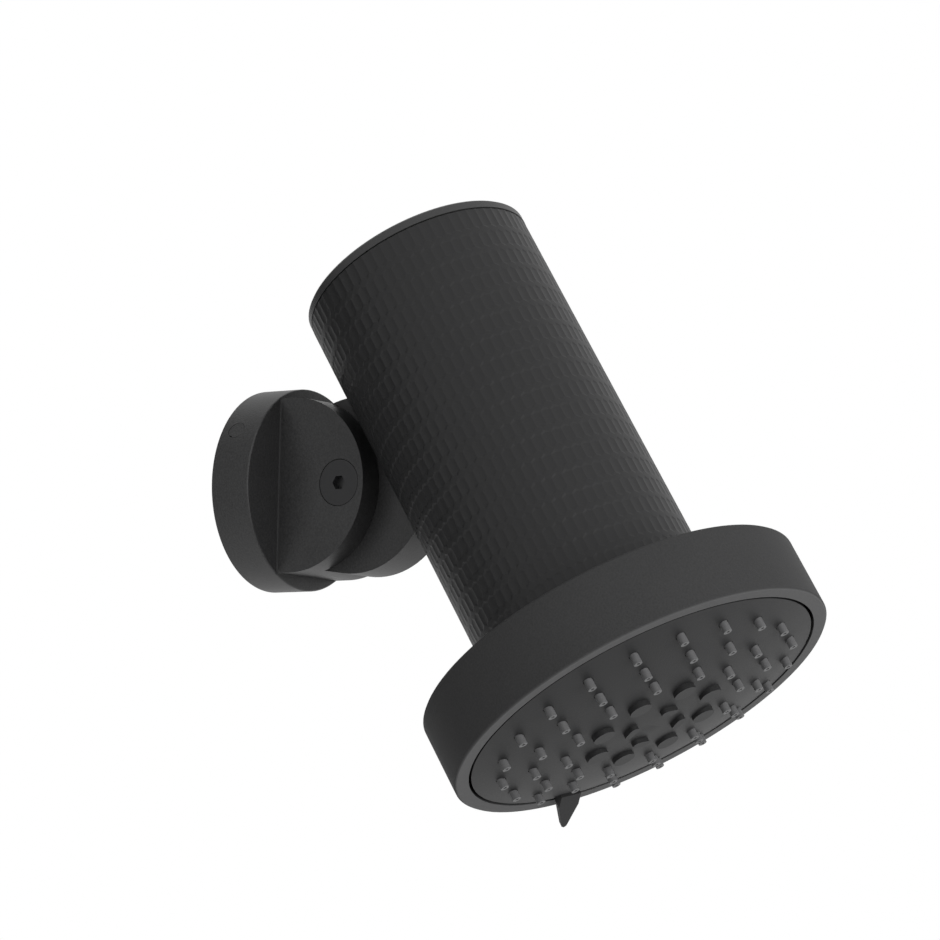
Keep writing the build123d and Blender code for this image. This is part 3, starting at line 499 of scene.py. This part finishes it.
# Floor: a plain pale sheet under the hung part, which takes a soft shadow.
# Away from the part it fades, for the camera alone, into the white surround. It has no underside.
floor_drop = 0.24
floor_size = 3.0
fade_from = 0.25
fade_to = 0.9
floor_tone = (0.86, 0.86, 0.86, 1.0)
floor_roughness = 0.9
bpy.ops.object.select_all(action="DESELECT")
bpy.ops.mesh.primitive_plane_add(size=floor_size)
floor = bpy.context.object
floor.name = "studio_floor"
floor.data.transform(Matrix.Translation((0, 0, -floor_drop)))
floor_finish = bpy.data.materials.new("pale_floor")
floor_finish.use_nodes = True
floor_tree = floor_finish.node_tree
floor_shader = floor_tree.nodes["Principled BSDF"]
floor_shader.inputs["Base Color"].default_value = floor_tone
floor_shader.inputs["Roughness"].default_value = floor_roughness
floor_place = floor_tree.nodes.new("ShaderNodeTexCoord")
floor_reach = floor_tree.nodes.new("ShaderNodeVectorMath")
floor_reach.operation = "LENGTH"
floor_fade = floor_tree.nodes.new("ShaderNodeMapRange")
floor_fade.interpolation_type = "SMOOTHSTEP"
floor_fade.inputs["From Min"].default_value = fade_from
floor_fade.inputs["From Max"].default_value = fade_to
floor_ray = floor_tree.nodes.new("ShaderNodeLightPath")
floor_seen = floor_tree.nodes.new("ShaderNodeMath")
floor_seen.operation = "MULTIPLY"
floor_bright = floor_tree.nodes.new("ShaderNodeMath")
floor_bright.operation = "MAXIMUM"
floor_white = floor_tree.nodes.new("ShaderNodeEmission")
floor_mix = floor_tree.nodes.new("ShaderNodeMixShader")
floor_tree.links.new(floor_place.outputs["Object"], floor_reach.inputs[0])
floor_tree.links.new(floor_reach.outputs["Value"], floor_fade.inputs["Value"])
floor_tree.links.new(floor_fade.outputs["Result"], floor_seen.inputs[0])
floor_tree.links.new(floor_ray.outputs["Is Camera Ray"], floor_seen.inputs[1])
floor_tree.links.new(floor_seen.outputs["Value"], floor_bright.inputs[0])
floor_tree.links.new(floor_ray.outputs["Is Glossy Ray"], floor_bright.inputs[1])
floor_tree.links.new(floor_bright.outputs["Value"], floor_mix.inputs["Fac"])
floor_tree.links.new(floor_shader.outputs["BSDF"], floor_mix.inputs[1])
floor_tree.links.new(floor_white.outputs["Emission"], floor_mix.inputs[2])
floor_side = floor_tree.nodes.new("ShaderNodeNewGeometry")
floor_clear = floor_tree.nodes.new("ShaderNodeBsdfTransparent")
floor_sheet = floor_tree.nodes.new("ShaderNodeMixShader")
floor_tree.links.new(floor_side.outputs["Backfacing"], floor_sheet.inputs["Fac"])
floor_tree.links.new(floor_mix.outputs["Shader"], floor_sheet.inputs[1])
floor_tree.links.new(floor_clear.outputs["BSDF"], floor_sheet.inputs[2])
floor_tree.links.new(floor_sheet.outputs["Shader"], floor_tree.nodes["Material Output"].inputs["Surface"])
floor.data.materials.append(floor_finish)

# Light: a plain white surround, with one large soft panel on the room side of the part.
# The surround is white to the camera and in reflections, and dimmer as a light.
surround_diffuse = 0.5
world = bpy.data.worlds.new("white_surround")
bpy.context.scene.world = world
world.use_nodes = True
surround = world.node_tree
ray = surround.nodes.new("ShaderNodeLightPath")
seen = surround.nodes.new("ShaderNodeMath")
seen.operation = "MAXIMUM"
seen_too = surround.nodes.new("ShaderNodeMath")
seen_too.operation = "MAXIMUM"
strength = surround.nodes.new("ShaderNodeMapRange")
strength.inputs["To Min"].default_value = surround_diffuse
strength.inputs["To Max"].default_value = 1.0
surround.nodes["Background"].inputs["Color"].default_value = (1, 1, 1, 1)
surround.links.new(ray.outputs["Is Camera Ray"], seen.inputs[0])
surround.links.new(ray.outputs["Is Glossy Ray"], seen.inputs[1])
surround.links.new(seen.outputs["Value"], seen_too.inputs[0])
surround.links.new(ray.outputs["Is Transmission Ray"], seen_too.inputs[1])
surround.links.new(seen_too.outputs["Value"], strength.inputs["Value"])
surround.links.new(strength.outputs["Result"], surround.nodes["Background"].inputs["Strength"])
panel_power = 8.5
panel_wide = 1.4
panel_tall = 0.6
panel_at = Vector((-0.20, -1.25, 0.10))
panel = bpy.data.lights.new("soft_panel", "AREA")
panel.energy = panel_power
panel.shape = "RECTANGLE"
panel.size = panel_wide
panel.size_y = panel_tall
panel_stand = bpy.data.objects.new("soft_panel", panel)
bpy.context.scene.collection.objects.link(panel_stand)
panel_stand.visible_camera = False
panel_stand.location = panel_at
panel_stand.rotation_euler = (face_centre - panel_at).to_track_quat("-Z", "Y").to_euler()

# Dark card: a dull sheet on the wall side, out of the camera's sight.
# It keeps that side of the part in shade.
card_at = Vector((-0.235, 0.50, -0.02))
card_wide = 0.63
card_tall = 1.3
card_tone = (0.10, 0.10, 0.10, 1.0)
card_roughness = 0.9
bpy.ops.mesh.primitive_plane_add(size=1.0)
card = bpy.context.object
card.name = "dark_card"
card_size = Matrix.Diagonal((card_wide, card_tall, 1, 1))
card.data.transform(Matrix.Translation(card_at) @ Matrix.Rotation(radians(90), 4, "X") @ card_size)
card.visible_camera = False
card_finish = bpy.data.materials.new("dark_card")
card_finish.use_nodes = True
card_shader = card_finish.node_tree.nodes["Principled BSDF"]
card_shader.inputs["Base Color"].default_value = card_tone
card_shader.inputs["Roughness"].default_value = card_roughness
card.data.materials.append(card_finish)

# Camera: long lens, a little below the part and on its near side, as in the photograph.
# Nothing is shifted.
view_from = Vector((-0.97934, -0.73320, -0.12338))
view_right = Vector((0.55699, -0.83032, 0.01818))
view_up = Vector((-0.09890, -0.04458, 0.99410))
camera = bpy.data.cameras.new("camera")
camera.lens = 151.56
camera.sensor_width = 36.0
camera.clip_start = 0.05
camera_stand = bpy.data.objects.new("camera", camera)
bpy.context.scene.collection.objects.link(camera_stand)
turn = Matrix((view_right, view_up, view_right.cross(view_up))).transposed()
camera_stand.matrix_world = Matrix.Translation(view_from) @ turn.to_4x4()
bpy.context.scene.camera = camera_stand
bpy.context.scene.view_settings.view_transform = "Standard"
